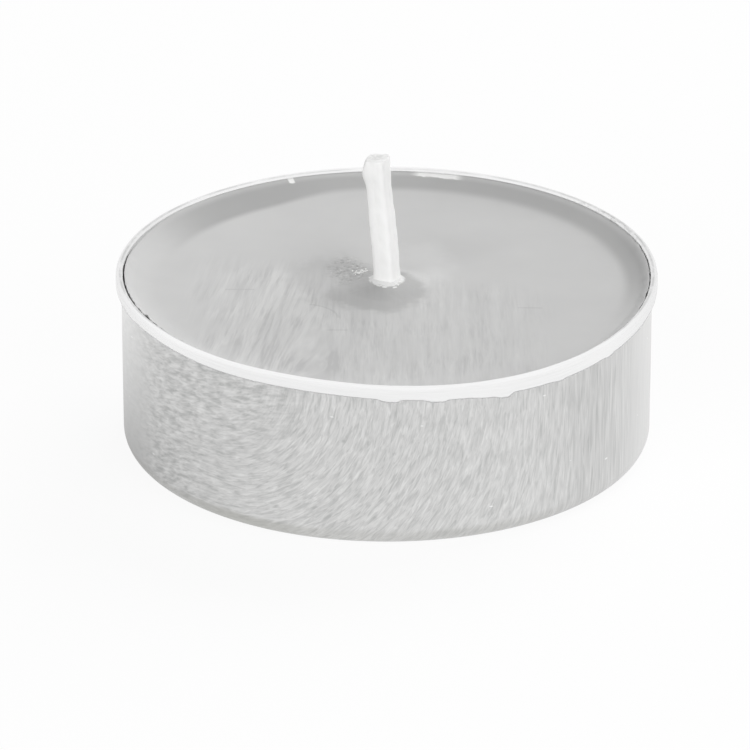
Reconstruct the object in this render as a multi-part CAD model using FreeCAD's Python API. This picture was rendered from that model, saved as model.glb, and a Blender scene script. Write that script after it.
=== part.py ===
import FreeCAD, Part
import math
import os

# Tea light candle: a drawn aluminium cup filled with wax, and a waxed cotton wick that a
# small stamped tab holds upright on the cup's floor.
# Millimetres, +Z up, the origin on the table under the middle of the cup.

# Cup, drawn in one piece from thin sheet, with its rim rolled outwards.
cup_diameter = 38.0     # outside of the straight wall
cup_height = 13.0       # table to the top of the rolled rim
sheet = 0.15            # thickness of the aluminium
base_corner = 1.2       # outside radius where the base turns up into the wall
rim_flare = 3.0         # degrees that the wall leans outwards where the rim is rolled
flare_below = 0.1       # the flare starts this far below the rim's cut edge
curl_bore = 0.12        # inside radius of the rolled rim
curl_height = 0.9       # top of the rim down to its cut edge, which hangs outside the wall
foot_width = 3.2        # flat ring that the cup stands on
panel_rise = 0.35       # the middle of the base is pressed up this far off the table
panel_slope = 1.3       # width of the sloping ring round the raised panel

# Wick tab, stamped from tinplate, with a neck that is squeezed onto the wick.
tab_diameter = 12.5
tab_sheet = 0.2
neck_bore = 2.2         # round foot of the neck, where the wick is threaded in
neck_height = 2.8       # top of the neck above the disc
neck_round = 0.9        # height of the round foot
neck_squeezed = 1.0     # height of the squeezed end
neck_root = 0.3         # inside radius of the bend from disc to neck
grip_clearance = 0.02   # squeezed end to wick

# Wick, a square cotton braid under a coat of wax, with one long groove down each side.
wick_side = 1.62
wick_corner = 0.36      # rounding of the braid's four corners
wick_groove = 0.05      # depth of the grooves
wick_waist = 1.53       # side of the braid where it is slimmest
wick_tip = 1.68         # side of the braid at its snipped end
waist_below_tip = 2.6   # the braid spreads from its waist both up and down, this far
wick_turn = 25.0        # degrees that the braid is turned clockwise, seen from above
wick_standout = 9.75    # length of wick above the wax
wick_lean = 5.4         # degrees from upright, towards -X
wick_bend = 30.0        # radius of the bend into the lean, just above the wax
snip_angle = 40.0       # slope of the snipped corner of the tip
snip_start = 0.3        # middle of the tip to the top of the snip
wick_spans = 7          # spans between the sections that form the standing wick

# Wax, poured to just below the rim.
wax_below_rim = 1.12    # top of the rim down to the flat of the wax
shrink_gap = 0.1        # the wax draws back from the wall as it sets
meniscus_width = 2.3    # ring where the wax climbs to the wall
meniscus_rise = 0.68
dimple_radius = 4.0     # sunken patch round the wick
dimple_depth = 0.24
collar_width = 0.45     # wax drawn up round the foot of the wick
collar_rise = 0.12
cast_clearance = 0.02   # wax to what is cast into it

# Bends are laid as short flats.
flat_turn = 36.0        # most degrees that one flat may stand for
roundness = 0.024       # farthest that a flat may lie from the true bend

# Worked out from the sizes above.
half_sheet = sheet / 2
half_tab_sheet = tab_sheet / 2
cup_radius = cup_diameter / 2
corner_mid = base_corner - half_sheet
curl_mid = curl_bore + half_sheet
curl_outer = curl_bore + sheet
panel_radius = cup_radius - base_corner - foot_width - panel_slope
panel_top = sheet + panel_rise
tab_radius = tab_diameter / 2
tab_top = panel_top + tab_sheet
neck_top = tab_top + neck_height
wax_level = cup_height - wax_below_rim
wax_radius = cup_radius - sheet - shrink_gap

up = math.radians(90)
inwards = math.radians(180)
x_axis = FreeCAD.Vector(1, 0, 0)
y_axis = FreeCAD.Vector(0, 1, 0)
z_axis = FreeCAD.Vector(0, 0, 1)


def point(x, z, y=0.0):
    return FreeCAD.Vector(x, y, z)


# A path in the XZ plane is a start, given as x, z and heading, and a list of moves. A move
# is a size and the degrees that it turns to the left: a straight run turns by none, a
# bend's size is its radius, and a sharp turn has no size.
def run(length):
    return length, 0.0


def bend(radius, degrees):
    return radius, degrees


def turn(degrees):
    return 0.0, degrees


# A straight slope that rises by `rise` over a width of `reach`.
def slope(rise, reach):
    degrees = math.degrees(math.atan(rise / reach))
    return [turn(degrees), run(math.hypot(rise, reach)), turn(-degrees)]


def move_length(move):
    size, degrees = move
    return size * abs(math.radians(degrees)) if degrees else size


# Where a share of one move leads.
def after(place, move, share=1.0):
    x, z, heading = place
    size, degrees = move
    if not degrees:
        length = share * size
        return x + length * math.cos(heading), z + length * math.sin(heading), heading
    radius = math.copysign(size, degrees)
    turned = heading + share * math.radians(degrees)
    x += radius * (math.sin(turned) - math.sin(heading))
    z -= radius * (math.cos(turned) - math.cos(heading))
    return x, z, turned


# Where a distance along a whole path leads.
def along(place, moves, distance):
    for move in moves:
        length = move_length(move)
        if distance <= length:
            return after(place, move, distance / length)
        distance -= length
        place = after(place, move)
    return place


def flats_in(move):
    size, degrees = move
    if not size:
        return 0
    if not degrees:
        return 1
    widest = math.degrees(2 * math.acos(1 - min(roundness / size, 1.0)))
    return math.ceil(abs(degrees) / min(flat_turn, widest))


def corners(place, moves):
    spots = [point(place[0], place[1])]
    for move in moves:
        flats = flats_in(move)
        for number in range(flats):
            x, z, heading = after(place, move, (number + 1) / flats)
            spots.append(point(x, z))
        place = after(place, move)
    return spots


# The corners of the line that keeps `offset` to the left of a path, with its own corners
# mitred so that a sheet between two such lines is equally thick all along.
def beside(place, moves, offset):
    spots = corners(place, moves)
    headings = [(far - near).normalize() for near, far in zip(spots, spots[1:])]
    lefts = [point(-heading.z, heading.x) for heading in headings]
    joints = zip(spots, [lefts[0], *lefts], [*lefts, lefts[-1]])
    return [spot + (one + two) * (offset / (1 + one.dot(two))) for spot, one, two in joints]


def closed(spots):
    return Part.makePolygon([*spots, spots[0]])


def turned_solid(spots):
    return Part.Face(closed(spots)).revolve(point(0, 0), z_axis, 360)


# What is bent from sheet along a path and is round about the cup's axis.
def turned_sheet(place, moves, thickness):
    left = beside(place, moves, thickness / 2)
    right = beside(place, moves, -thickness / 2)
    return turned_solid([*left, *reversed(right)])


# The middle of the cup's sheet, from the axis out over the raised panel, its slope and the
# foot ring to the wall. What is cast inside turns up a little before the wall does.
base_start = (0.0, panel_top - half_sheet, 0.0)


def base_moves(short_by=0.0):
    return [
        run(panel_radius),
        *slope(-panel_rise, panel_slope),
        run(foot_width - short_by),
        bend(corner_mid, 90),
    ]


def make_cup():
    lean = math.radians(rim_flare)
    flare_start = cup_height - curl_height - flare_below
    flare_end = cup_height - curl_outer + curl_mid * math.sin(lean)
    moves = [
        *base_moves(),
        run(flare_start - base_corner),
        turn(-rim_flare),
        run((flare_end - flare_start) / math.cos(lean)),
        bend(curl_mid, rim_flare - 180),
        run(curl_height - curl_outer),
    ]
    return turned_sheet(base_start, moves, sheet)


# Outline of the braid: a square with round corners, and a groove that makes two strands of
# each side.
def braid_section(side, corner):
    half_flat = side / 2 - corner
    dip = math.degrees(math.atan(wick_groove / half_flat))
    strand = run(math.hypot(wick_groove, half_flat))
    one_side = [turn(dip), strand, turn(-2 * dip), strand, turn(dip), bend(corner, 90)]
    section = closed(corners((side / 2, -half_flat, up), 4 * one_side)[:-1])
    section.rotate(point(0, 0), x_axis, -90)
    section.rotate(point(0, 0), z_axis, -wick_turn)
    return section


# The neck above its round foot, at a distance outside the bore: it is drawn in to the
# shape of the braid and then runs straight up.
def squeezed_neck(outside, top):
    square_foot = neck_top - neck_squeezed
    grip = grip_clearance + outside
    circle = Part.Circle(point(0, tab_top + neck_round), z_axis, neck_bore / 2 + outside)
    braid = braid_section(wick_side + 2 * grip, wick_corner + grip)
    braid.translate(point(0, square_foot))
    drawn = Part.makeLoft([Part.Wire([circle.toShape()]), braid], True, True)
    return drawn.fuse(Part.Face(braid).extrude(point(0, top - square_foot)))


# The disc and the round foot of the neck are one sheet, followed from the disc's edge.
def tab_path(wider=0.0):
    bend_mid = neck_root + half_tab_sheet
    bore_mid = neck_bore / 2 + half_tab_sheet
    moves = [
        run(tab_radius + wider - bore_mid - bend_mid),
        bend(bend_mid, -90),
        run(neck_round + half_tab_sheet - bend_mid),
    ]
    return (tab_radius + wider, panel_top + half_tab_sheet, inwards), moves


def make_tab():
    neck = squeezed_neck(tab_sheet, neck_top).cut(squeezed_neck(0.0, neck_top))
    return turned_sheet(*tab_path(), tab_sheet).fuse(neck).removeSplitter()


# The space that the tab takes up in the wax, bore included.
def tab_space():
    line = beside(*tab_path(cast_clearance), -half_tab_sheet - cast_clearance)
    middle = [point(0, line[-1].z), point(0, panel_top), point(line[0].x, panel_top)]
    neck = squeezed_neck(tab_sheet + cast_clearance, neck_top + cast_clearance)
    return turned_solid([*line, *middle]).fuse(neck)


# The wick goes straight up from the cup's floor to the wax. There it bends, and runs
# straight on along its lean.
wick_foot = (0.0, wax_level, up)
bend_length = wick_bend * math.radians(wick_lean)
wick_moves = [bend(wick_bend, wick_lean), run(wick_standout - bend_length)]


# Turns and moves a shape to a distance along the standing wick.
def set_on_wick(shape, distance):
    x, z, heading = along(wick_foot, wick_moves, distance)
    shape.rotate(point(0, 0), y_axis, 90 - math.degrees(heading))
    shape.translate(point(x, z))
    return shape


# Side of the braid at a distance down from the tip: it is slimmest at the waist.
def braid_side(below_tip):
    waists = below_tip / waist_below_tip
    end = wick_tip if waists < 1 else wick_side
    spread = (1 + math.cos(math.pi * min(waists, 2.0))) / 2
    return wick_waist + (end - wick_waist) * spread


def wick_section(below_tip):
    section = braid_section(braid_side(below_tip), wick_corner)
    return set_on_wick(section, wick_standout - below_tip)


# The wick in the wax is a straight prism, and its hole is a larger one.
def buried_wick(grow=0.0):
    section = braid_section(wick_side + 2 * grow, wick_corner + grow)
    section.translate(point(0, panel_top))
    return Part.Face(section).extrude(point(0, wax_level - panel_top))


def make_wick():
    heights = [wick_standout * (1 - number / wick_spans) for number in range(wick_spans + 1)]
    standing = Part.makeLoft([wick_section(below_tip) for below_tip in heights], True)
    reach = 2 * wick_tip
    snip = Part.makeBox(reach, 2 * reach, reach, point(-reach, 0, -reach))
    snip.rotate(point(0, 0), y_axis, -snip_angle)
    snip.translate(point(-snip_start, 0))
    return buried_wick().fuse(standing.cut(set_on_wick(snip, wick_standout)))


# Top of the wax from the axis out: the collar round the wick, the dimple, the flat and the
# meniscus.
def wax_top_moves():
    wick_reach = math.sqrt(0.5) * (wick_side - 2 * wick_corner) + wick_corner
    meniscus_turn = 2 * math.atan(meniscus_rise / meniscus_width)
    return [
        run(wick_reach),
        *slope(-collar_rise, collar_width),
        *slope(dimple_depth, dimple_radius - wick_reach - collar_width),
        run(wax_radius - meniscus_width - dimple_radius),
        bend(meniscus_width / math.sin(meniscus_turn), math.degrees(meniscus_turn)),
    ]


def make_wax():
    wall = run(wax_level + meniscus_rise - base_corner)
    outside = beside(base_start, [*base_moves(shrink_gap), wall], half_sheet)
    collar_top = wax_level - dimple_depth + collar_rise
    top = corners((0.0, collar_top, 0.0), wax_top_moves())
    body = turned_solid([*outside, *reversed(top[:-1])])
    return body.cut([tab_space(), buried_wick(cast_clearance)])


os.makedirs("parts", exist_ok=True)
for name, solid in (
    ("cup", make_cup()),
    ("wax", make_wax()),
    ("wick", make_wick()),
    ("wick_tab", make_tab()),
):
    solid.exportStep(f"parts/{name}.step")
    print(name, solid.isValid(), len(solid.Solids), round(solid.Volume, 3))
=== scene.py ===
import math

import bpy
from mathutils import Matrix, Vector


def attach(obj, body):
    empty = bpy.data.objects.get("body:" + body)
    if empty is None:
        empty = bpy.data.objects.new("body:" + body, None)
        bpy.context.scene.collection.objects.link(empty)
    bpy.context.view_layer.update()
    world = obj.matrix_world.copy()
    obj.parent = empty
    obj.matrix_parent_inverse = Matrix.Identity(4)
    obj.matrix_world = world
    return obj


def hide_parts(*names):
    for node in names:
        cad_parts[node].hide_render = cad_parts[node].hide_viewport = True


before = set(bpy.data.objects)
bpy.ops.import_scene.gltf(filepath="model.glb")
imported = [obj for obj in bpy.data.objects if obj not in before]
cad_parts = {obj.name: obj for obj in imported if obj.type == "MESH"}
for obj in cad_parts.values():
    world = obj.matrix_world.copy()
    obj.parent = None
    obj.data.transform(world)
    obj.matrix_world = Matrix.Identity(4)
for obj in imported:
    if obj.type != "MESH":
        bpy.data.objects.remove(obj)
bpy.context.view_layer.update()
mm = 0.001
wallRadius = 19.0     # mm, outside of the cup's straight wall
waxLevel = 11.88      # mm, top of the wax
print("frame loaded")


# Nodes: sockets in expressions, for materials and geometry alike

class Signal:
    def __init__(self, graph, socket):
        self.graph = graph
        self.socket = socket

    def __add__(self, other):
        return self.graph.combine("ADD", self, other)

    def __radd__(self, other):
        return self.graph.combine("ADD", other, self)

    def __sub__(self, other):
        return self.graph.combine("SUBTRACT", self, other)

    def __rsub__(self, other):
        return self.graph.combine("SUBTRACT", other, self)

    def __mul__(self, other):
        return self.graph.combine("MULTIPLY", self, other)

    def __rmul__(self, other):
        return self.graph.combine("MULTIPLY", other, self)

    def __truediv__(self, other):
        return self.graph.combine("DIVIDE", self, other)

    def __rtruediv__(self, other):
        return self.graph.combine("DIVIDE", other, self)

    def __pow__(self, other):
        return self.graph.combine("POWER", self, other)

    def __neg__(self):
        return 0 - self

    def __abs__(self):
        return self.graph.math("ABSOLUTE", self)

    def __gt__(self, other):
        return self.graph.combine("GREATER_THAN", self, other)

    def __lt__(self, other):
        return self.graph.combine("LESS_THAN", self, other)


def isVector(value):
    if isinstance(value, Signal):
        return value.socket.type in ("VECTOR", "RGBA")
    return isinstance(value, (tuple, list, Vector))


class Graph:
    def __init__(self, tree):
        self.tree = tree

    def feed(self, socket, value):
        if isinstance(value, Signal):
            self.tree.links.new(value.socket, socket)
        else:
            socket.default_value = value

    # one node: its settings first, then the values or links of its sockets
    def node(self, kind, settings=None, inputs=None, output=0):
        made = self.tree.nodes.new(kind)
        for name, value in (settings or {}).items():
            if name == "stops":
                ramp = made.color_ramp
                while len(ramp.elements) < len(value):
                    ramp.elements.new(1.0)
                for element, (place, colour) in zip(ramp.elements, value):
                    element.position = place
                    element.color = rgba(colour)
            else:
                setattr(made, name, value)
        for key, value in (inputs or {}).items():
            self.feed(made.inputs[key], value)
        if output is None:
            return made
        if isinstance(output, (tuple, list)):
            return [Signal(self, made.outputs[key]) for key in output]
        return Signal(self, made.outputs[output])

    # numbers meet in a Math node, vectors in a Vector Math node
    def combine(self, operation, first, second):
        if isVector(first) or isVector(second):
            if operation == "MULTIPLY" and not (isVector(first) and isVector(second)):
                vector, factor = (first, second) if isVector(first) else (second, first)
                return self.node("ShaderNodeVectorMath", {"operation": "SCALE"},
                                 {0: vector, "Scale": factor})
            return self.node("ShaderNodeVectorMath", {"operation": operation}, {0: first, 1: second})
        return self.node("ShaderNodeMath", {"operation": operation}, {0: first, 1: second})

    def math(self, operation, *values, clamp=False):
        return self.node("ShaderNodeMath", {"operation": operation, "use_clamp": clamp},
                         dict(enumerate(values)))

    def clamp(self, value):
        return self.math("ADD", value, 0.0, clamp=True)

    # soft step from 0 at low to 1 at high
    def step(self, value, low, high):
        return self.node("ShaderNodeMapRange", {"interpolation_type": "SMOOTHSTEP"},
                         {"Value": value, "From Min": low, "From Max": high,
                          "To Min": 0.0, "To Max": 1.0})

    # a soft hump, 1 at middle and 0 past width on either side
    def hump(self, value, middle, width):
        return 1 - self.step(abs(value - middle), 0.0, width)

    # how far an angle in radians lies from a middle in degrees, either way round
    def turnFrom(self, angle, middle):
        return abs(self.math("WRAP", angle - math.radians(middle), math.pi, -math.pi))

    # the soft hump on a circle, with its middle and width in degrees
    def humpAround(self, angle, middle, width):
        return 1 - self.step(self.turnFrom(angle, middle), 0.0, math.radians(width))

    def distance(self, x, y):
        return self.math("SQRT", x * x + y * y)

    def vector(self, x, y, z):
        return self.node("ShaderNodeCombineXYZ", {}, {0: x, 1: y, 2: z})

    def parts(self, vector):
        return self.node("ShaderNodeSeparateXYZ", {}, {0: vector}, output=(0, 1, 2))

    def noise(self, vector, scale, detail=2.0, roughness=0.5, distortion=0.0):
        return self.node("ShaderNodeTexNoise", {}, {
            "Vector": vector, "Scale": scale, "Detail": detail,
            "Roughness": roughness, "Distortion": distortion})

    def mix(self, factor, first, second):
        if isVector(first) or isVector(second):
            return self.node("ShaderNodeMix", {"data_type": "RGBA"},
                             {0: factor, 6: rgba(first), 7: rgba(second)}, output=2)
        return self.node("ShaderNodeMix", {"data_type": "FLOAT"},
                         {0: factor, 2: first, 3: second})


def rgba(colour):
    return (*colour, 1.0) if isinstance(colour, tuple) and len(colour) == 3 else colour


def newTree(name, inputs):
    tree = bpy.data.node_groups.new(name, "GeometryNodeTree")
    tree.interface.new_socket("Geometry", in_out="OUTPUT", socket_type="NodeSocketGeometry")
    for label, kind in inputs.items():
        tree.interface.new_socket(label, in_out="INPUT", socket_type="NodeSocket" + kind)
    entry = tree.nodes.new("NodeGroupInput")
    graph = Graph(tree)
    return graph, {s.name: Signal(graph, s) for s in entry.outputs if s.name}


# every tree ends here: smooth, real, and with its finish on
def endTree(graph, geometry, finish):
    smooth = graph.node("GeometryNodeSetShadeSmooth", {}, {"Geometry": geometry})
    real = graph.node("GeometryNodeRealizeInstances", {}, {"Geometry": smooth})
    dressed = graph.node("GeometryNodeSetMaterial", {}, {"Geometry": real, "Material": finish})
    exit = graph.tree.nodes.new("NodeGroupOutput")
    graph.tree.links.new(dressed.socket, exit.inputs[0])


# runs a tree with its inputs set, and keeps what it makes as a plain mesh
def grow(name, graph, values):
    piece = bpy.data.objects.new(name, bpy.data.meshes.new(name))
    bpy.context.scene.collection.objects.link(piece)
    modifier = piece.modifiers.new(name, "NODES")
    modifier.node_group = graph.tree
    for item in graph.tree.interface.items_tree:
        if item.in_out == "INPUT" and item.name in values:
            modifier[item.identifier] = values[item.name]
    bpy.context.view_layer.update()
    seen = piece.evaluated_get(bpy.context.evaluated_depsgraph_get())
    mesh = bpy.data.meshes.new_from_object(seen)
    piece.modifiers.clear()
    piece.data = mesh
    mesh.name = name
    print(name, len(mesh.polygons), "faces")
    return piece


# a bare line through x, z points in mm; y carries a share that the tree may read
def guideLine(name, spots):
    mesh = bpy.data.meshes.new(name)
    mesh.from_pydata([(x * mm, share, z * mm) for x, z, share in spots],
                     [(i, i + 1) for i in range(len(spots) - 1)], [])
    guide = bpy.data.objects.new(name, mesh)
    bpy.context.scene.collection.objects.link(guide)
    return guide


def dropGuide(guide):
    bpy.data.objects.remove(guide)


# a path in mm from x, z and a heading; each move has its length or its bend's radius, the
# degrees that it turns to the left, and its number of steps
def tracePath(x, z, heading, moves):
    spots = [(x, z, heading)]
    for size, degrees, count in moves:
        for i in range(count):
            turn = math.radians(degrees) / count
            if degrees:
                radius = math.copysign(size, degrees)
                x += radius * (math.sin(heading + turn) - math.sin(heading))
                z -= radius * (math.cos(heading + turn) - math.cos(heading))
                heading += turn
            else:
                x += size / count * math.cos(heading)
                z += size / count * math.sin(heading)
            spots.append((x, z, heading))
    return spots


# Finishes

def newFinish(name, **fixed):
    finish = bpy.data.materials.new(name)
    finish.use_nodes = True
    finish.node_tree.nodes.clear()
    graph = Graph(finish.node_tree)
    shader = finish.node_tree.nodes.new("ShaderNodeBsdfPrincipled")
    exit = finish.node_tree.nodes.new("ShaderNodeOutputMaterial")
    finish.node_tree.links.new(shader.outputs[0], exit.inputs[0])
    for label, value in fixed.items():
        shader.inputs[label.replace("_", " ")].default_value = value
    return finish, graph, shader


def objectPlace(graph):
    return graph.node("ShaderNodeTexCoord", {}, {}, output="Object")


def attribute(graph, name):
    return graph.node("ShaderNodeAttribute", {"attribute_name": name}, {}, output="Fac")


# bumps whose height is given in mm
def addRelief(graph, shader, strength, height):
    normal = graph.node("ShaderNodeBump", {}, {
        "Strength": strength, "Distance": 1.0, "Height": height * mm})
    graph.feed(shader.inputs["Normal"], normal)


aluminiumLook = {
    "wall": (0.668, 0.668, 0.663),
    "wallDark": (0.515, 0.52, 0.515),
    "wallLight": (0.82, 0.82, 0.815),
    # painted light: shade at the foot, glints, the rim's reflection with its duller sides, and shade in
    # its crease
    "foot": (0.42, 0.42, 0.39),
    "paintedGlint": (0.95, 0.95, 0.95),
    "rim": (0.925, 0.925, 0.925),
    "rimAside": (0.83, 0.83, 0.83),
    "creaseShade": (0.58, 0.58, 0.58),
    "streakWidth": 0.19,      # mm across a streak
    "streakLength": 1.15,     # mm along it
    "broader": 3.0,           # the broad streaks are this much wider
    "swirl": (-13.0, 12.2),   # mm round the wall and up it: the streaks circle this spot
    # where a look sets in or ends, in mm round the wall from the front, positive to the right
    "upright": (4.0, 20.0),
    "scalesStart": (-52.0, -40.0),
    "scalesEnd": (-17.0, -8.0),
    "behind": (40.0, 51.5),
    # soft patches on the wall and the rim: middle and half width, in the same mm; the sides and shades
    # place painted reflection and shade, the scuffs are wear
    "leftSide": (-28.0, 13.0),
    "leftShade": (-20.0, 9.0),
    "rightSide": (28.0, 13.0),
    "rightShade": (18.0, 8.0),
    "footShade": (-11.0, 8.0),
    "scuffs": (39.5, 9.0),
    # mm out from the axis or up the sheet, before the rim sags
    "baseEdge": (17.9, 18.6),
    "footEdge": (0.95, 1.4),
    "rimEdge": (12.02, 12.12),
    "rimTop": (12.8, 12.92),
}


# mm round the wall from the front, positive to the right, with its cut at the back
def roundWall(graph, x, y):
    front = graph.math("ARCTAN2", x, -y) * wallRadius
    back = graph.math("ARCTAN2", -x, y) * wallRadius + wallRadius * math.pi
    return graph.mix(abs(front) > 52.0, front, back)


# the brushed pattern, about 0.5, and the share of it that is scales
def wallGrain(graph, place, round, base):
    look = aluminiumLook
    x, y, z = graph.parts(place)

    # streaks circle a spot on the wall, and stand upright further round to the right
    swirlRound, swirlUp = look["swirl"]
    across = round - swirlRound
    across = graph.math("MAXIMUM", across, across * 0.2)      # they lie flatter on the left
    down = (swirlUp - z) * (1 - graph.step(round, *look["upright"]) * 0.75)
    far = graph.distance(across, down)
    around = graph.math("ARCTAN2", down, across) * far

    def streaks(wider, longer, seed):
        spot = graph.vector(far * (1 / (look["streakWidth"] * wider)),
                            around * (1 / (look["streakLength"] * longer)), seed)
        return graph.noise(spot, 1.0, 2.0, 0.6, 0.8)

    # on the left they break up into short flat strokes, like scales
    slanted = graph.vector(z * 0.98 - round * 0.2, z * 0.2 + round * 0.98, 4.0)

    def strokes(upScale, roundScale):
        return graph.noise(slanted * (upScale, roundScale, 1.0), 1.0, 2.0, 0.6, 0.4)

    scaly = 1 - graph.step(round, *look["scalesEnd"]) * graph.step(far, 3.5, 9.0)
    scaly = scaly * graph.step(round, *look["scalesStart"])

    # behind they stand upright all round, and under the base they lie straight
    aside = abs(round)
    plain = graph.math("MAXIMUM", graph.step(aside, *look["behind"]), base)

    def plainStreaks(wider):
        size = look["streakWidth"] * wider
        upright = graph.noise(place * (1 / size, 1 / size, 0.17 / size), 1.0, 2.0, 0.6)
        straight = graph.noise(place * (0.06 / size, 0.9 / size, 0.9 / size), 1.0, 2.0, 0.6)
        return graph.mix(base, upright, straight)

    def layer(wider, longer, seed, upScale, roundScale):
        front = graph.mix(scaly * 0.8, streaks(wider, longer, seed), strokes(upScale, roundScale))
        return graph.mix(plain, front, plainStreaks(wider))

    fine = layer(1.0, 1.0, 3.0, 3.8, 1.0)
    broad = layer(look["broader"], 1.5, 9.0, 1.7, 0.75)
    scaly = scaly * (1 - plain)
    calm = graph.step(aside, 18.6, 23.0) * (1 - graph.step(aside, 34.0, 44.0) * 0.5)
    fainter = graph.math("MAXIMUM", graph.step(round, 0.0, 8.0), plain)
    contrast = (1.13 + scaly * 0.8 - fainter * 0.22) * (1 - calm * 0.75) * (1 - base * 0.5)
    mixed = fine * (0.72 - scaly * 0.16) + broad * (0.28 + scaly * 0.16)
    return 0.5 + (mixed - 0.5) * contrast, scaly


def wallTone(graph, grain, scaly, round, z, height, base):
    look = aluminiumLook
    tone = graph.node("ShaderNodeValToRGB", {"stops": [
        (0.30, look["wallDark"]), (0.5, look["wall"]), (0.72, look["wallLight"])]}, {0: grain})

    # a few tiny painted glints: small bright highlights on the wall
    away, pick = graph.node("ShaderNodeTexVoronoi", {"voronoi_dimensions": "2D"}, {
        "Vector": graph.vector(round * 0.5 + z * 0.15, z * 1.2, 0.0), "Scale": 0.21},
        output=("Distance", "Color"))
    chosen, size, unused = graph.parts(pick)
    paintedGlint = (1 - graph.step(away, size * 0.014, size * 0.014 + 0.012)) * (chosen > 0.5)
    tone = graph.mix(paintedGlint * (1 - base) * 0.8, tone, look["paintedGlint"])

    # painted shade: a duller line at the foot, where the wall meets the floor, most on the left and none
    # far round to the right
    foot = (1 - graph.step(height, *look["footEdge"])) * (1 - base)
    foot = foot * (0.25 + graph.hump(round, *look["footShade"]) * 0.35
                   - graph.step(round, 10.0, 17.0) * 0.25)
    tone = graph.mix(foot, tone, look["foot"])

    # painted reflection and shade: the wall is duller low on the left, and brighter high on both sides
    low = 1 - graph.step(z, 1.5, 7.0)
    shade = graph.hump(round, *look["leftSide"]) * (z - 6.4) * 0.06 \
        - graph.hump(round, *look["leftShade"]) * 0.10 \
        - graph.hump(round, *look["rightShade"]) * 0.08 \
        + graph.hump(round, *look["rightSide"]) * (0.16 + (z - 6.0) * 0.012) \
        - scaly * 0.04 + low * (1 - scaly) * 0.025
    return tone * (1 + shade * (1 - base))


# the rim is brighter, a painted reflection that is duller towards its sides, with painted shade along the
# crease of its roll, broken in places
def rimTone(graph, lines, x, y, round, height, radius):
    look = aluminiumLook
    aside = abs(round)
    side = abs(graph.math("SINE", graph.math("ARCTAN2", x, -y)))
    dull = graph.step(aside, 16.5, 28.0) * (1 - graph.step(aside, 36.0, 47.0) * 0.8)
    bright = graph.mix(dull, look["rim"], look["rimAside"])
    bright = bright * (1 - graph.clamp((lines - 0.42) * 1.3) * 0.1)
    creaseShade = graph.hump(radius, 18.93 + side * 0.15, 0.075 + side * 0.09)
    creaseShade = creaseShade * graph.step(height, *look["rimTop"])
    creasePatchy = graph.noise(graph.vector(round * 0.35, 5.0, radius), 1.0, 3.0, 0.7)
    creasePatchy = graph.step(creasePatchy, 0.3, 0.6)
    bright = graph.mix(graph.clamp(creaseShade * (0.3 + side * 0.7) * creasePatchy), bright, look["creaseShade"])
    spots = graph.noise(graph.vector(round * 1.6, height * 6.0, radius * 6.0), 1.0, 3.0, 0.7)
    scuffs = graph.step(spots, 0.5, 0.6) * graph.hump(round, *look["scuffs"])
    return bright * (1 - scuffs * 0.22)


def aluminiumFinish():
    look = aluminiumLook
    finish, graph, shader = newFinish("drawnAluminium", Metallic=1.0)
    place = objectPlace(graph) * (1 / mm)
    x, y, z = graph.parts(place)
    height = attribute(graph, "sheetHeight")
    radius = attribute(graph, "sheetRadius")
    rim = graph.step(height, *look["rimEdge"])
    base = 1 - graph.step(radius, *look["baseEdge"])
    round = roundWall(graph, x, y)
    grain, scaly = wallGrain(graph, place, round, base)
    tone = wallTone(graph, grain, scaly, round, z, height, base)
    # fine lines run along the rim
    lines = graph.noise(graph.vector(round * 0.22, height * 11.0, radius * 11.0), 1.0, 2.0, 0.6)
    bright = rimTone(graph, lines, x, y, round, height, radius)
    graph.feed(shader.inputs["Base Color"], graph.mix(rim, tone, bright))
    rough = graph.mix(rim, 0.36 + (grain - 0.5) * 0.3, 0.24 + (lines - 0.5) * 0.15)
    graph.feed(shader.inputs["Roughness"], rough)
    addRelief(graph, shader, 0.6, grain * (1 - rim) * 0.02 + lines * rim * 0.006)
    return finish


waxLook = {
    "dark": (0.465, 0.465, 0.465),
    "pale": (0.608, 0.608, 0.603),
    "crumbDark": (0.80, 0.80, 0.79),
    "crumb": (0.92, 0.92, 0.91),
    "flake": (0.9, 0.9, 0.89),
    # thin scratches, each a piece of a circle: middle, radius, first and last degree
    "scratches": [(-6.06, -6.46, 2.63, 5.0, 78.0), (-3.5, -38.4, 30.0, 88.6, 91.4),
                  (-10.5, -31.2, 30.0, 88.0, 92.0), (9.5, -36.0, 31.5, 87.2, 90.4)],
    # light flakes on the far edge: degrees round from the front, and half width
    "flakes": [(168.2, 6.8), (-157.8, 0.9)],
    # darker patches at the wick, partly clearer wax and partly painted shade of the wick and its hollow,
    # and a lighter one: middle x and y, half width and half depth in mm, softness of the edge, strength
    "clearAndShaded": [(-0.4, -1.7, 3.1, 3.3, 0.2, 1.0), (-3.7, 0.6, 3.1, 3.9, 0.35, 0.6)],
    "lighterPatch": [(2.4, 3.2, 2.0, 3.4, 0.6, 1.0)],
    # middles of the painted dark band of shade along the far wall and of the painted pale band of light
    # along the near wall, in degrees round from the front
    "farBand": 160.0,
    "nearBand": -32.0,
}


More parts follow.
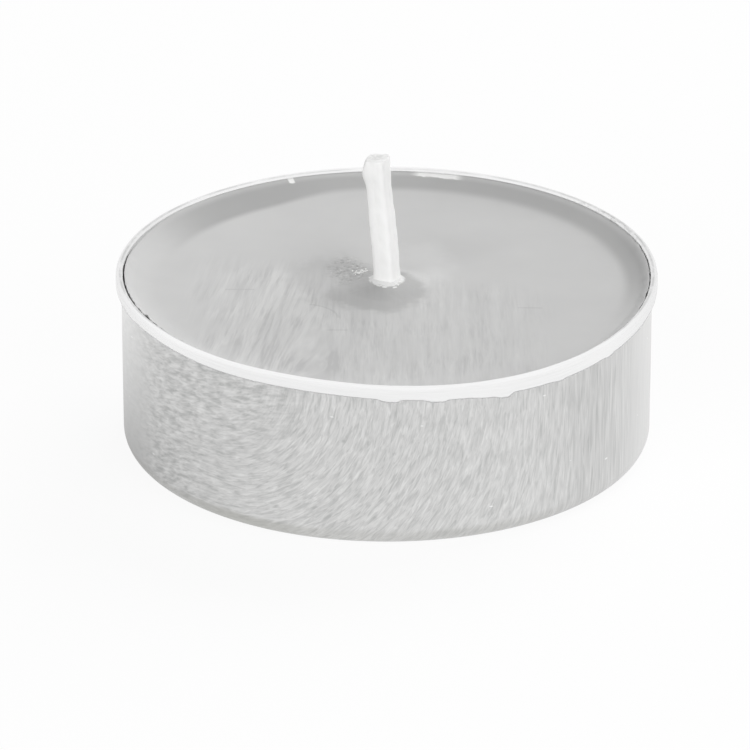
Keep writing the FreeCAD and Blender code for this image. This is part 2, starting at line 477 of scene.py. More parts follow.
# scrapes run to the front, and slant on the left; some are cut deeper
def scrapes(graph, place):
    x, y, z = graph.parts(place)
    lean = x - y * 0.15 * (1 - graph.step(x, -7.0, -3.0))

    def grooves(stretch, scale, roughness):
        return graph.noise(graph.vector(lean, y * stretch, z * 0.2), scale, 2.0, roughness, 0.2)

    broad = grooves(0.10, 1.5, 0.6)
    fine = grooves(0.07, 3.6, 0.65)
    front = graph.step(-y - x * 0.25, -3.5, 2.0) * (1 - graph.step(abs(x + 1.2), 8.5, 14.0))
    patch = graph.step(graph.noise(place, 0.32, 2.0, 0.5), 0.38, 0.62)
    marks = ((broad - 0.5) * 0.6 + (fine - 0.5) * 0.9) * front * (0.4 + patch * 0.6)
    marks = marks * (1 + graph.step(-x, 2.0, 5.0) * 0.6)
    return marks, graph.step(fine, 0.55, 0.66) * front * patch


def scratches(graph, x, y):
    total = 0.0
    for middleX, middleY, radius, first, last in waxLook["scratches"]:
        toX = x - middleX
        toY = y - middleY
        around = graph.math("ARCTAN2", toY, toX) * (180 / math.pi)
        there = graph.hump(graph.distance(toX, toY), radius, 0.16)
        total = total + there * (around > first) * (around < last)
    return graph.clamp(total)


# soft patches with a wandering edge
def patches(graph, x, y, wander, spots):
    total = 0.0
    for middleX, middleY, wide, deep, soft, strength in spots:
        spot = graph.vector((x - middleX) * (1 / wide), (y - middleY) * (1 / deep), 0.0)
        away = graph.node("ShaderNodeVectorMath", {"operation": "LENGTH"}, {0: spot}, output="Value")
        there = 1 - graph.step(away + (wander - 0.5) * 0.9, 1.05 - soft, 1.05 + soft)
        total = total + there * strength
    return graph.clamp(total)


def farFlakes(graph, turned):
    total = 0.0
    for middle, width in waxLook["flakes"]:
        total = total + graph.clamp(graph.humpAround(turned, middle, width) * 3.0)
    return total


def waxFinish():
    look = waxLook
    finish, graph, shader = newFinish("paraffinWax", Metallic=0.0, IOR=1.43)
    shader.inputs["Subsurface Weight"].default_value = 0.12
    shader.inputs["Subsurface Radius"].default_value = (0.9, 0.9, 0.85)
    shader.inputs["Subsurface Scale"].default_value = 1.2 * mm
    place = objectPlace(graph) * (1 / mm)
    x, y, z = graph.parts(place)
    out = graph.distance(x, y)
    turned = graph.math("ARCTAN2", x, -y)
    cloud = graph.noise(place, 0.22, 3.0, 0.5)
    wander = graph.noise(place, 0.55, 3.0, 0.6)
    grit = graph.noise(place, 2.6, 3.0, 0.7)

    # round the wick the wax is darker, partly clearer wax and partly painted shade of the wick and its
    # hollow, and its scrapes are faint there
    clearAndShaded = patches(graph, x, y, wander, look["clearAndShaded"])
    lighterPatch = patches(graph, x, y, wander, look["lighterPatch"]) * (1 - clearAndShaded)
    marks, cuts = scrapes(graph, place)
    marks = marks * (1 - clearAndShaded * 0.75)
    shade = 0.58 + (cloud - 0.5) * 0.5 + marks * 2.6 - cuts * (1 - clearAndShaded) * 0.55 \
        - scratches(graph, x, y) * 0.5
    colour = graph.mix(graph.clamp(shade), look["dark"], look["pale"])

    # painted shade where it climbs the far wall, turned from the light, wider on the left, up to a painted
    # highlight at its edge
    side = graph.turnFrom(turned, look["farBand"])
    widerLeft = graph.step(-x, 3.0, 9.0)
    climb = graph.step(out + widerLeft * 0.8, 16.7, 17.6) * (1 - graph.step(side, 1.1, 1.7))
    edge = graph.step(out, 18.25, 18.9) * (1 - graph.step(side, 1.1, 1.6))
    forward = graph.turnFrom(turned, look["nearBand"])
    # painted light: paler on the left, at the back and in a band along the near wall, less where it climbs
    paler = graph.step(-x, 1.0, 12.0) * 0.06 + graph.step(y, 2.0, 12.0) * 0.035 \
        + graph.step(out, 14.5, 18.6) * (1 - graph.step(forward, 0.5, 1.25)) * 0.12
    paler = paler * (1 - climb * 0.7)

    # it is broken to the left of the wick, in dark and light specks of painted shade and light, and
    # lighter at its foot: frothed wax, and painted light that lifts the collar's shade
    broken = graph.distance((x + 2.7) * 0.55, (y - 2.2) * 0.36)
    crumbly = 1 - graph.step(broken + (wander - 0.5) * 0.8, 0.4, 1.15)
    pits = graph.step(grit, 0.52, 0.60) * crumbly
    bits = graph.step(-grit, -0.42, -0.36) * crumbly
    frothedAndLit = (1 - graph.step(out + (grit - 0.5) * 0.5, 1.15, 1.4)) * 0.7
    # painted shade on the wax's side, which shows only in the gaps at the wall, and on its bottom
    castSide = attribute(graph, "castSide")
    colour = colour * (1 + paler + lighterPatch * 0.13 - clearAndShaded * 0.235 - climb * (0.24 + widerLeft * 0.07)
                       + edge * 0.24 - pits * 0.2 - crumbly * 0.04 + bits * 0.25
                       + frothedAndLit - castSide * 0.6)
    flake = farFlakes(graph, turned) * graph.step(out + (wander - 0.5) * 0.8, 18.42, 18.56)
    colour = graph.mix(graph.clamp(flake), colour, look["flake"])
    graph.feed(shader.inputs["Base Color"], colour)
    graph.feed(shader.inputs["Roughness"], 0.52 + (cloud - 0.5) * 0.2 - clearAndShaded * 0.12)
    addRelief(graph, shader, 0.5, marks * 0.05 + cloud * 0.10 + grit * crumbly * 0.3)
    return finish


def crumbFinish():
    finish, graph, shader = newFinish("brokenWax", Metallic=0.0, IOR=1.43)
    place = objectPlace(graph) * (1 / mm)
    cloud = graph.noise(place, 3.0, 3.0, 0.6)
    graph.feed(shader.inputs["Base Color"],
               graph.mix(cloud, waxLook["crumbDark"], waxLook["crumb"]))
    graph.feed(shader.inputs["Roughness"], 0.45 + (cloud - 0.5) * 0.3)
    addRelief(graph, shader, 0.5, cloud * 0.06)
    return finish


cottonLook = {
    "thread": (0.95, 0.95, 0.94),
    "waxed": (0.99, 0.99, 0.985),
    # grey of the cut end, partly painted shade
    "cut": (0.72, 0.72, 0.71),
}


def cottonFinish():
    look = cottonLook
    finish, graph, shader = newFinish("waxedCotton", Metallic=0.0)
    shader.inputs["Sheen Weight"].default_value = 0.1
    place = objectPlace(graph) * (1 / mm)
    x, y, z = graph.parts(place)
    lie = attribute(graph, "strandRelief")
    threads = graph.noise(graph.vector(x * 6.0, y * 6.0, z * 1.6), 1.0, 2.0, 0.6)
    cloud = graph.noise(place, 0.9, 3.0, 0.5)
    # painted shade of the braid: lighter on raised strands, darker in their grooves
    shade = graph.clamp(0.55 + lie * 0.35 + (threads - 0.5) * 0.3 + (cloud - 0.5) * 0.4)
    colour = graph.mix(shade, look["thread"], look["waxed"])
    colour = colour * (1 - graph.step(z, 14.0, 21.0) * 0.09)      # painted shade: a little greyer up to the tip, which takes more light
    # the cut end is greyer in smudges: its cut fibres, and painted shade on the top of the tip
    smudge = graph.step(graph.noise(place, 3.2, 3.0, 0.6), 0.42, 0.58)
    colour = graph.mix(attribute(graph, "cutEnd") * smudge, colour, look["cut"])
    graph.feed(shader.inputs["Base Color"], colour)
    graph.feed(shader.inputs["Roughness"], 0.5 + (cloud - 0.5) * 0.3)
    addRelief(graph, shader, 0.6, threads * 0.03 + cloud * 0.06)
    return finish


tinplateLook = {"dark": (0.62, 0.62, 0.60), "light": (0.74, 0.74, 0.72)}


def tinplateFinish():
    look = tinplateLook
    finish, graph, shader = newFinish("tinplate", Metallic=1.0)
    place = objectPlace(graph) * (1 / mm)
    rolled = graph.noise(place * (0.3, 5.0, 1.0), 1.0, 2.0, 0.6)
    graph.feed(shader.inputs["Base Color"], graph.mix(rolled, look["dark"], look["light"]))
    graph.feed(shader.inputs["Roughness"], 0.28 + (rolled - 0.5) * 0.2)
    return finish


aluminium = aluminiumFinish()
paraffin = waxFinish()
brokenWax = crumbFinish()
waxedCotton = cottonFinish()
tinplate = tinplateFinish()
print("finishes made")


# A turned form: a guide line swept round the axis by nodes

# gives the grid, each point's row on the guide (x out, y share, z up) and its angle
def turnedGrid(graph, guide, segments):
    line = graph.node("GeometryNodeObjectInfo", {}, {"Object": guide}, output="Geometry")
    rows = graph.node("GeometryNodeAttributeDomainSize", {}, {"Geometry": line}, output="Point Count")
    grid = graph.node("GeometryNodeMeshGrid", {}, {
        "Vertices X": segments + 1, "Vertices Y": rows}, output="Mesh")
    index = graph.node("GeometryNodeInputIndex")
    column = graph.math("FLOOR", (index + 0.5) / rows)
    row = index - column * rows
    position = graph.node("GeometryNodeInputPosition")
    spot = graph.node("GeometryNodeSampleIndex", {"data_type": "FLOAT_VECTOR"},
                      {"Geometry": line, "Value": position, "Index": row})
    angle = graph.math("WRAP", column / segments * (2 * math.pi), math.pi, -math.pi)
    return grid, spot, angle


def store(graph, geometry, name, value):
    return graph.node("GeometryNodeStoreNamedAttribute", {"data_type": "FLOAT", "domain": "POINT"},
                      {"Geometry": geometry, "Name": name, "Value": value})


# Cup

cupSizes = {
    "radius": wallRadius, "height": 13.0, "sheet": 0.15, "corner": 1.2, "curlBore": 0.12,
    "skirt": 0.9, "panelRise": 0.35, "panelSlope": 1.3, "footWidth": 3.2, "flare": 3.0,
}
cupWobble = {
    "Segments": 640, "Skirt Change": -0.12, "Skirt Noise": 0.08,
    "Wall Noise": 0.05, "Rim Noise": 0.04,
}
# where the rim sags: middle and half width in degrees round from the front, and how deep in mm
sags = [(28.0, 80.0, 0.82), (-40.0, 30.0, 0.15)]
# where the roll's skirt hangs lower, in the same way
hangs = [(28.0, 80.0, 0.28), (-36.0, 28.0, 0.11), (44.0, 34.0, 0.13), (150.0, 50.0, 0.1)]
# torn tongues of its raw edge: where each starts and ends, and how much longer it is
tears = [(-2.6, 2.6, 0.19), (7.0, 12.6, 0.16), (16.6, 26.7, 0.13), (22.4, 26.7, 0.17),
         (36.5, 39.8, 0.08), (51.5, 55.0, 0.10), (-104.0, -88.0, 0.14), (-150.0, -138.0, 0.12),
         (112.0, 126.0, 0.14), (158.0, 166.0, 0.11), (-75.0, -66.0, 0.07)]


# the sum of soft humps round the axis
def sumHumps(graph, angle, humps):
    total = 0.0
    for middle, width, size in humps:
        total = total + graph.humpAround(angle, middle, width) * size
    return total


def cupGuide():
    s = cupSizes
    half = s["sheet"] / 2
    cornerMid = s["corner"] - half
    curlMid = s["curlBore"] + half
    stepTurn = math.degrees(2 * math.atan(s["panelRise"] / s["panelSlope"]))
    stepRadius = s["panelSlope"] / 2 / math.sin(math.radians(stepTurn))
    panel = s["radius"] - s["corner"] - s["footWidth"] - s["panelSlope"]
    flareStart = s["height"] - s["skirt"] - 0.1
    flareRise = s["height"] - s["curlBore"] - s["sheet"] - flareStart
    flareRun = flareRise / math.cos(math.radians(s["flare"]))
    skirtSteps = 5
    moves = [
        (panel, 0, 3), (stepRadius, -stepTurn, 5), (stepRadius, stepTurn, 5),
        (s["footWidth"], 0, 2), (cornerMid, 90, 10), (flareStart - s["corner"], 0, 14),
        (flareRun, 0, 2), (curlMid, -180, 14), (s["skirt"] - curlMid - half, 0, skirtSteps),
    ]
    middle = tracePath(0.0, s["panelRise"] + s["sheet"] - half, 0.0, moves)
    skirtStart = len(middle) - 1 - skirtSteps
    outline = []
    for side in (-1, 1):
        spots = []
        for i, (x, z, heading) in enumerate(middle):
            share = max(0, i - skirtStart) / skirtSteps      # 1 at the skirt's raw edge
            spots.append((x - side * half * math.sin(heading), z + side * half * math.cos(heading), share))
        outline += spots if side < 0 else reversed(spots)
    return guideLine("cupGuide", outline)


def cupTree():
    graph, given = newTree("turnedCup", {
        "Guide": "Object", "Finish": "Material", "Segments": "Int",
        "Skirt Change": "Float", "Skirt Noise": "Float",
        "Wall Noise": "Float", "Rim Noise": "Float"})
    grid, spot, angle = turnedGrid(graph, given["Guide"], given["Segments"])
    x, share, z = graph.parts(spot)
    x = x * (1 / mm)
    z = z * (1 / mm)
    ring = graph.vector(graph.math("SINE", angle), graph.math("COSINE", angle), 0.0)

    # the rim sags at the front, and its raw edge hangs down unevenly
    drop = sumHumps(graph, angle, sags) * graph.step(z, 6.0, 12.6)
    edgeNoise = (graph.noise(ring * 9.0, 1.0, 3.0, 0.6) - 0.5) * given["Skirt Noise"]
    hang = given["Skirt Change"] + sumHumps(graph, angle, hangs) + edgeNoise
    for start, end, deep in tears:
        width = math.radians(end - start)
        along = graph.math("WRAP", angle - math.radians(start), math.pi, -math.pi)
        tongue = graph.step(along, 0.0, width * 0.45) - graph.step(along, width - 0.01, width)
        hang = hang + tongue * deep
    rimNoise = (graph.noise(ring * 2.6, 1.0, 2.0, 0.5) - 0.5) * given["Rim Noise"]
    newZ = z - drop - share * hang + rimNoise * graph.step(z, 11.0, 12.6)

    # shallow hand marks in the thin wall
    dents = graph.noise(graph.vector(0.0, 0.0, z * 0.09) + ring * 2.2, 1.0, 1.0, 0.4) - 0.5
    upright = graph.step(x, 18.0, 18.8) * graph.step(z, 1.0, 4.0) * (1 - graph.step(z, 10.5, 12.5))
    newX = x + dents * upright * given["Wall Noise"]
    position = graph.vector(newX * mm * graph.math("SINE", angle),
                            newX * mm * graph.math("COSINE", angle) * -1.0, newZ * mm)
    placed = graph.node("GeometryNodeSetPosition", {}, {"Geometry": grid, "Position": position})
    placed = store(graph, placed, "sheetHeight", z)
    placed = store(graph, placed, "sheetRadius", x)
    closed = graph.node("GeometryNodeMergeByDistance", {}, {"Geometry": placed, "Distance": 1e-6})
    endTree(graph, closed, given["Finish"])
    return graph


cupLine = cupGuide()
cup = grow("cupShell", cupTree(), {"Guide": cupLine, "Finish": aluminium, **cupWobble})
dropGuide(cupLine)

# Wax

waxSizes = {
    "radius": 18.75, "level": waxLevel, "floor": 0.15, "corner": 1.2, "panelTop": 0.5,
    "panelEdge": 13.2, "footEdge": 14.6, "meniscusWidth": 2.3, "meniscusRise": 0.68,
}
waxWobble = {
    "Segments": 320,
    "Dimple Radius": 4.2, "Dimple Depth": 0.12, "Mound": 0.38, "Lump": 0.11, "Ripple": 0.03,
    "Reach": 0.128, "Gap Noise": 2.2, "Back Rise": 0.22,
}
# where the wax has shrunk from the wall: middle and half width in degrees round from the
# front, how far in mm, and how far its edge stands up there
gaps = [(-74.0, 42.0, 0.10, 0.30), (85.0, 38.0, 0.07, 0.24)]


def waxGuide():
    s = waxSizes
    edge = s["level"] + s["meniscusRise"]
    turn = 2 * math.atan(s["meniscusRise"] / s["meniscusWidth"])
    radius = s["meniscusWidth"] / math.sin(turn)
    inner = s["radius"] - s["meniscusWidth"]
    cornerRadius = s["corner"] - s["floor"]
    cornerSteps, wallSteps, meniscusSteps, flatSteps = 6, 6, 15, 70
    spots = [(0.0, s["panelTop"], 0.0), (s["panelEdge"], s["panelTop"], 0.0),
             (s["footEdge"], s["floor"], 0.0)]
    for i in range(cornerSteps + 1):
        a = math.radians(90 * i / cornerSteps)
        spots.append((s["radius"] - cornerRadius * (1 - math.sin(a)),
                      s["floor"] + cornerRadius * (1 - math.cos(a)), 0.0))
    for i in range(1, wallSteps + 1):
        spots.append((s["radius"], s["corner"] + (edge - 0.06 - s["corner"]) * i / wallSteps, 0.0))
    spots.append((s["radius"], edge - 0.01, 1.0))
    # the top has share 1, from the edge down the meniscus and in over the flat
    for i in range(meniscusSteps, 0, -1):
        a = turn * i / meniscusSteps
        bevel = 0.01 if i == meniscusSteps else 0.0
        spots.append((inner + radius * math.sin(a) - bevel,
                      s["level"] + radius * (1 - math.cos(a)), 1.0))
    for i in range(flatSteps):
        spots.append((inner * (1 - i / flatSteps) ** 1.6, s["level"], 1.0))      # closer at the wick
    spots.append((0.0, s["level"], 1.0))
    return guideLine("waxGuide", spots)


def waxTree():
    graph, given = newTree("pouredWax", {
        "Guide": "Object", "Finish": "Material", "Segments": "Int", "Dimple Radius": "Float",
        "Dimple Depth": "Float", "Mound": "Float", "Lump": "Float", "Ripple": "Float",
        "Reach": "Float", "Gap Noise": "Float", "Back Rise": "Float"})
    grid, spot, angle = turnedGrid(graph, given["Guide"], given["Segments"])
    x, top, z = graph.parts(spot)
    x = x * (1 / mm)
    z = z * (1 / mm)
    sine = graph.math("SINE", angle)
    cosine = graph.math("COSINE", angle) * -1.0
    ring = graph.vector(sine, cosine, 0.0)
    flat = graph.vector(x * sine, x * cosine, 0.0)

    # a shallow hollow round the wick, in which the wax climbs to a thin collar at its foot
    rough = graph.noise(flat, 0.7, 3.0, 0.6)
    away = x * (0.8 + rough * 0.4)
    dimple = (1 - graph.step(away, 0.9, given["Dimple Radius"])) * given["Dimple Depth"]
    ragged = graph.noise(flat, 3.2, 3.0, 0.7)
    mound = (1 - graph.step(x, 0.9, 3.3)) * given["Mound"]
    collar = (1 - graph.step(x + (ragged - 0.5) * 0.45, 1.0, 1.22)) * (0.12 + ragged * 0.2)
    lumps = (graph.noise(flat, 2.3, 4.0, 0.65) - 0.5) * given["Lump"]
    leftward = graph.step(-x * sine, 0.8, 2.4)
    lumps = lumps * (1 - graph.step(x, 1.6, 4.4)) * (0.35 + leftward * 0.65)
    ripple = (graph.noise(flat, 0.16, 1.0, 0.4) - 0.5) * given["Ripple"]
    newZ = z + top * (mound + collar - dimple + lumps + ripple)

    # it climbs the wall, less where the rim sags and more behind
    nearWall = graph.step(x, 15.8, waxSizes["radius"])
    behind = graph.step(cosine, 0.1, 0.6)
    low = graph.clamp(sumHumps(graph, angle, sags) * 1.5)
    climb = graph.math("MAXIMUM", z - waxSizes["level"], 0.0)
    newZ = newZ - climb * low + top * nearWall * behind * given["Back Rise"]

    # its side reaches the wall, apart from the gaps
    wobble = 1 + (graph.noise(ring * 22.0, 1.0, 3.0, 0.7) - 0.5) * given["Gap Noise"]
    gap = 0.0
    for middle, width, wide, high in gaps:
        there = graph.clamp(graph.humpAround(angle, middle, width) * 2.0)
        gap = gap + there * wide * wobble
        newZ = newZ + there * high * wobble * graph.step(x, 18.1, 18.7) * graph.step(z, 12.0, 12.45)
    newX = x + graph.step(x, 18.2, 18.74) * graph.step(z, 8.0, 11.0) * (given["Reach"] - gap)
    position = graph.vector(newX * mm * sine, newX * mm * cosine, newZ * mm)
    placed = graph.node("GeometryNodeSetPosition", {}, {"Geometry": grid, "Position": position})
    # the side and bottom, which the finish darkens as painted shade
    placed = store(graph, placed, "castSide", 1 - top)
    closed = graph.node("GeometryNodeMergeByDistance", {}, {"Geometry": placed, "Distance": 1e-6})
    endTree(graph, closed, given["Finish"])
    return graph


waxLine = waxGuide()
wax = grow("waxBlock", waxTree(), {"Guide": waxLine, "Finish": paraffin, **waxWobble})
dropGuide(waxLine)

# Wick

wickSizes = {
    "foot": 0.5, "level": waxLevel, "standout": 9.75, "lean": 5.4, "bend": 30.0,
}
wickForm = {
    "Rows": 190, "Around": 72, "Side": 1.62, "Waist": 1.53, "Tip": 1.70,
    "Waist Below Tip": 2.6, "Squareness": 4.2, "Turn": math.radians(-25),
    "Pitch": 1.5, "Relief": 0.026, "Snip Start": 0.0, "Snip Depth": 0.9, "Tip Round": 0.15,
    "Foot Flare": 0.14, "Level Length": waxLevel - wickSizes["foot"],
}


def wickGuide():
    s = wickSizes
    lean = math.radians(s["lean"])
    straight = s["standout"] - s["bend"] * lean
    spots = tracePath(0.0, s["foot"], math.radians(90), [
        (s["level"] - s["foot"], 0, 40), (s["bend"], s["lean"], 10), (straight, 0, 20)])
    return guideLine("wickGuide", [(x, z, 0.0) for x, z, heading in spots])


def wickTree():
    graph, given = newTree("squareBraid", {
        "Guide": "Object", "Finish": "Material", "Rows": "Int", "Around": "Int", "Side": "Float",
        "Waist": "Float", "Tip": "Float", "Waist Below Tip": "Float", "Squareness": "Float",
        "Turn": "Float", "Pitch": "Float", "Relief": "Float", "Snip Start": "Float",
        "Snip Depth": "Float", "Tip Round": "Float", "Foot Flare": "Float",
        "Level Length": "Float"})
    line = graph.node("GeometryNodeObjectInfo", {}, {"Object": given["Guide"]}, output="Geometry")
    curve = graph.node("GeometryNodeMeshToCurve", {}, {"Mesh": line})
    total = graph.node("GeometryNodeCurveLength", {}, {"Curve": curve}) * (1 / mm)
    rows = given["Rows"]
    around = given["Around"]
    grid = graph.node("GeometryNodeMeshGrid", {}, {
        "Vertices X": around + 1, "Vertices Y": rows}, output="Mesh")
    index = graph.node("GeometryNodeInputIndex")
    column = graph.math("FLOOR", (index + 0.5) / rows)
    row = index - column * rows

    # the last rows of each end close it towards its middle, round at the tip
    capRows = 14.0
    footRows = 3.0
    fromTop = rows - 1.0 - row
    capOpen = graph.math("SINE", graph.clamp(fromTop / capRows) * (math.pi / 2))
    shoulder = graph.clamp((capOpen - 0.55) / 0.45)
    rounding = (1 - graph.math("SQRT", 1 - shoulder * shoulder)) * given["Tip Round"]
    open = capOpen * graph.clamp(row / footRows)
    share = graph.clamp((row - footRows) / (rows - 1.0 - footRows - capRows))
    length = share * total
    turnAround = column / around * (2 * math.pi)

    # a square with round corners, in half sides from the middle line
    cosine = graph.math("COSINE", turnAround)
    sine = graph.math("SINE", turnAround)
    power = given["Squareness"]
    square = (abs(cosine) ** power + abs(sine) ** power) ** (-1 / power)

    belowTip = total - length
    waist = given["Waist Below Tip"]
    spread = (graph.math("COSINE", graph.clamp(belowTip / (waist * 2)) * (2 * math.pi)) + 1) * 0.5
    end = graph.mix(belowTip > waist, given["Tip"], given["Side"])
    side = given["Waist"] + (end - given["Waist"]) * spread

    # strands: each side shows two columns of slanted strands, mirrored in its middle
    quarter = graph.math("WRAP", turnAround, math.pi / 4, -math.pi / 4)
    acrossSide = abs(quarter) * (4 / math.pi)
    slant = length / given["Pitch"] + acrossSide * 0.55
    plait = abs(graph.math("SINE", slant * math.pi))
    groove = 1 - graph.step(acrossSide, 0.0, 0.28)
    relief = plait * 0.8 - groove * 0.45
    wander = graph.noise(graph.vector(cosine * 0.8, sine * 0.8, length * 0.75), 1.0, 3.0, 0.6) - 0.5
    radius = side * 0.5 * square + relief * given["Relief"] + wander * 0.10

    # it bulges on the left just under the tip, and at its foot the wax clings to it
    turned = turnAround + given["Turn"]
    leftward = graph.math("MAXIMUM", -graph.math("COSINE", turned), 0.0)
    radius = radius + graph.hump(belowTip, 0.8, 1.25) * leftward * 0.18
    flare = graph.hump(length, given["Level Length"], 1.0) * given["Foot Flare"]
    chunk = graph.noise(graph.vector(cosine * 1.6, sine * 1.6, length * 1.6), 1.0, 3.0, 0.6)
    radius = radius + flare * chunk
    radius = radius * open

    # the tip is snipped: flat on the right, sloping down on the left
    outX = radius * graph.math("COSINE", turned)
    outY = radius * graph.math("SINE", turned)
    slope = graph.math("MAXIMUM", given["Snip Start"] - outX, 0.0) ** 4.0
    fray = (graph.noise(graph.vector(outX, outY, 0.0), 2.6, 2.0, 0.6) - 0.5) * 0.14
    limit = total - slope * given["Snip Depth"] + fray - rounding - outY * 0.24 + 0.13
    cut = graph.math("MINIMUM", length, limit)
    centre, tangent = graph.node("GeometryNodeSampleCurve", {"mode": "LENGTH"}, {
        "Curves": curve, "Length": cut * mm}, output=("Position", "Tangent"))
    outward = graph.node("ShaderNodeVectorMath", {"operation": "CROSS_PRODUCT"},
                         {0: (0.0, 1.0, 0.0), 1: tangent})
    # past the guide's end the tip goes straight on
    beyond = graph.math("MAXIMUM", cut - total, 0.0)
    position = centre + outward * (outX * mm) + tangent * (beyond * mm) \
        + graph.vector(0.0, 1.0, 0.0) * (outY * mm)
    placed = graph.node("GeometryNodeSetPosition", {}, {"Geometry": grid, "Position": position})
    placed = store(graph, placed, "strandRelief", relief)
    placed = store(graph, placed, "cutEnd", 1 - graph.clamp(fromTop / capRows * 1.6 - 0.3))
    closed = graph.node("GeometryNodeMergeByDistance", {}, {"Geometry": placed, "Distance": 1e-6})
    endTree(graph, closed, given["Finish"])
    return graph


wickLine = wickGuide()
wick = grow("wickBraid", wickTree(), {"Guide": wickLine, "Finish": waxedCotton, **wickForm})
dropGuide(wickLine)

# Crumbs of wax round the foot of the wick

crumbForm = {
    "Density": 3.4e7, "Smallest": 0.05, "Largest": 0.13, "Seed": 7,
}


def crumbTree():
    graph, given = newTree("waxCrumbs", {
        "Wax": "Object", "Finish": "Material", "Density": "Float", "Smallest": "Float",
        "Largest": "Float", "Seed": "Int"})
    block = graph.node("GeometryNodeObjectInfo", {}, {"Object": given["Wax"]}, output="Geometry")
    place = graph.node("GeometryNodeInputPosition") * (1 / mm)
    x, y, z = graph.parts(place)
    flat = graph.distance(x, y)
    # most of them lie on the left, where the wax broke away
    toX = x + 1.95
    toY = y - 2.0
    clump = (1 - graph.step(graph.math("SQRT", toX * toX + toY * toY * 0.5), 0.15, 0.75)) * 0.9
    ridge = graph.hump(flat, 1.3, 0.3) * graph.step(-y, -0.2, 0.6) * 0.25
    patchy = graph.step(graph.noise(place, 1.8, 2.0, 0.6), 0.42, 0.6)
    density = (clump + ridge) * patchy * (z > 11.0) * given["Density"]
    points, turned = graph.node("GeometryNodeDistributePointsOnFaces",
                                {"distribute_method": "RANDOM"},
                                {"Mesh": block, "Density": density, "Seed": given["Seed"]},
                                output=("Points", "Rotation"))
    lump = graph.node("GeometryNodeMeshIcoSphere", {}, {"Radius": mm, "Subdivisions": 2},
                      output="Mesh")
    size = graph.node("FunctionNodeRandomValue", {"data_type": "FLOAT"},
                      {2: given["Smallest"], 3: given["Largest"], "Seed": given["Seed"]}, output=1)
    flatten = graph.node("FunctionNodeRandomValue", {"data_type": "FLOAT_VECTOR"},
                         {0: (0.8, 0.4, 0.3), 1: (2.4, 0.8, 0.6), "Seed": 11}, output=0)
    spread = graph.node("GeometryNodeInstanceOnPoints", {}, {
        "Points": points, "Instance": lump, "Rotation": turned, "Scale": flatten * size})
    real = graph.node("GeometryNodeRealizeInstances", {}, {"Geometry": spread})
    bump = graph.noise(place, 5.0, 2.0, 0.6) - 0.5
    normal = graph.node("GeometryNodeInputNormal")
    rough = graph.node("GeometryNodeSetPosition", {}, {
        "Geometry": real, "Offset": normal * (bump * 0.12 * mm)})
    endTree(graph, rough, given["Finish"])
    return graph


crumbs = grow("waxCrumbs", crumbTree(), {"Wax": wax, "Finish": brokenWax, **crumbForm})

# Tab, floor, light and camera

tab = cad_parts["wick_tab"]
tab.data.materials.clear()
tab.data.materials.append(tinplate)

for piece, slot, node in ((cup, "cup_metal", "cup"), (wax, "wax", "wax"),
                          (wick, "wick_cotton", "wick"), (crumbs, "wax", None)):
    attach(piece, "root")
    if node:
        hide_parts(node)

stageLook = {
    "floor": (0.93, 0.93, 0.93), "halfSize": 1.5,
    "seenWhite": 0.9, "mirroredWhite": 0.75,      # how far the camera and the metal see it white
    "world": 0.32,
}


def makeFloor():
    size = stageLook["halfSize"]
    mesh = bpy.data.meshes.new("floor")
    mesh.from_pydata([(-size, -size, 0), (size, -size, 0), (size, size, 0), (-size, size, 0)],
                     [], [(0, 1, 2, 3)])
    floor = bpy.data.objects.new("floor", mesh)
    bpy.context.scene.collection.objects.link(floor)
    finish = bpy.data.materials.new("paleFloor")
    finish.use_nodes = True
    finish.node_tree.nodes.clear()
    graph = Graph(finish.node_tree)
    matt = graph.node("ShaderNodeBsdfDiffuse", {}, {"Color": rgba(stageLook["floor"])})
    bright = graph.node("ShaderNodeEmission", {}, {"Color": (1, 1, 1, 1), "Strength": 1.0})
    seen, glossy = graph.node("ShaderNodeLightPath", {}, {}, output=("Is Camera Ray", "Is Glossy Ray"))
    share = graph.math("MAXIMUM", seen * stageLook["seenWhite"], glossy * stageLook["mirroredWhite"])
    both = graph.node("ShaderNodeMixShader", {}, {0: share, 1: matt, 2: bright})
    exit = finish.node_tree.nodes.new("ShaderNodeOutputMaterial")
    finish.node_tree.links.new(both.socket, exit.inputs[0])
    mesh.materials.append(finish)


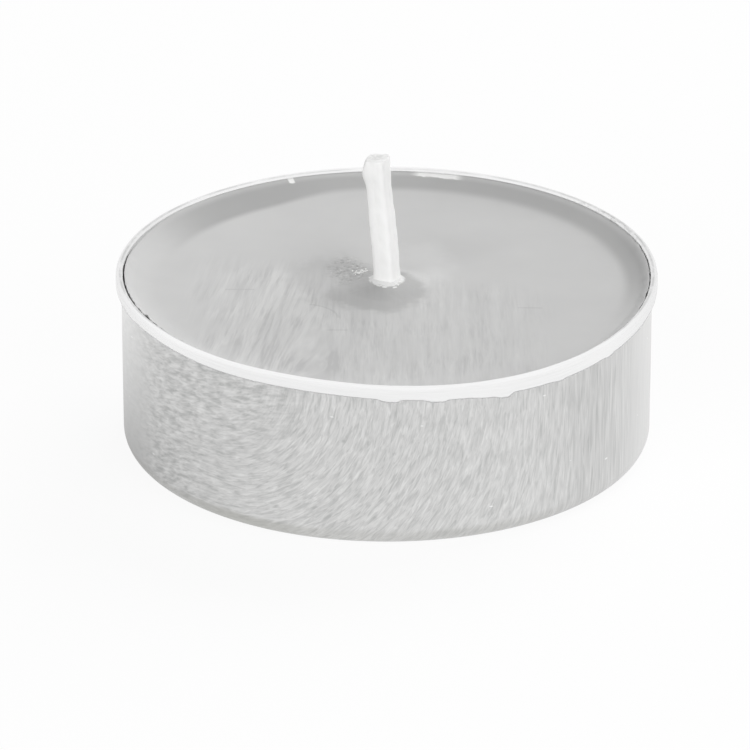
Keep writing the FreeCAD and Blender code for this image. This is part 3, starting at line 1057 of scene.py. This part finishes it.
def makeWorld():
    world = bpy.data.worlds.new("studio")
    bpy.context.scene.world = world
    world.use_nodes = True
    world.node_tree.nodes.clear()
    graph = Graph(world.node_tree)
    seen, glossy, through = graph.node("ShaderNodeLightPath", {}, {}, output=(
        "Is Camera Ray", "Is Glossy Ray", "Is Transmission Ray"))
    straight = graph.math("MAXIMUM", graph.math("MAXIMUM", seen, glossy), through)
    strength = graph.mix(straight, stageLook["world"], 1.0)
    background = graph.node("ShaderNodeBackground", {}, {"Color": (1, 1, 1, 1), "Strength": strength})
    exit = world.node_tree.nodes.new("ShaderNodeOutputWorld")
    world.node_tree.links.new(background.socket, exit.inputs[0])


# name: place in m, size in m, power in W
lampPlan = {
    "key": ((0.40, 0.55, 0.47), 0.7, 4.9),
    "fillLeft": ((-0.40, -0.65, 0.40), 0.6, 3.2),
    "fillRight": ((0.50, -0.55, 0.38), 0.6, 2.5),
}


def makeLamp(name):
    place, size, power = lampPlan[name]
    lamp = bpy.data.lights.new(name, "AREA")
    lamp.shape = "SQUARE"
    lamp.size = size
    lamp.energy = power
    holder = bpy.data.objects.new(name, lamp)
    bpy.context.scene.collection.objects.link(holder)
    holder.location = place
    holder.visible_glossy = False      # the metal would mirror it as a hard white band
    holder.rotation_euler = (Vector((0, 0, 0.006)) - Vector(place)).to_track_quat("-Z", "Y").to_euler()


cameraPlan = {
    "distance": 0.45, "elevation": 24.2, "lens": 300.0,
    "middle": (0.0, 0.0, 0.0065),
    "shiftRight": -0.84 * mm, "shiftUp": -1.71 * mm,   # where the view's centre lies from the middle
}


def makeCamera():
    plan = cameraPlan
    tilt = math.radians(plan["elevation"])
    back = Vector((0, -math.cos(tilt), math.sin(tilt)))
    up = Vector((0, math.sin(tilt), math.cos(tilt)))
    aim = Vector(plan["middle"]) + Vector((plan["shiftRight"], 0, 0)) + up * plan["shiftUp"]
    data = bpy.data.cameras.new("photoView")
    data.lens = plan["lens"]
    data.sensor_width = 36.0
    data.clip_start = 0.01
    data.clip_end = 20.0
    camera = bpy.data.objects.new("photoView", data)
    bpy.context.scene.collection.objects.link(camera)
    camera.location = aim + back * plan["distance"]
    camera.rotation_euler = back.to_track_quat("Z", "Y").to_euler()
    bpy.context.scene.camera = camera


makeFloor()
makeWorld()
for name in lampPlan:
    makeLamp(name)
makeCamera()
bpy.context.scene.view_settings.view_transform = "Standard"
print("stage, light and camera set")
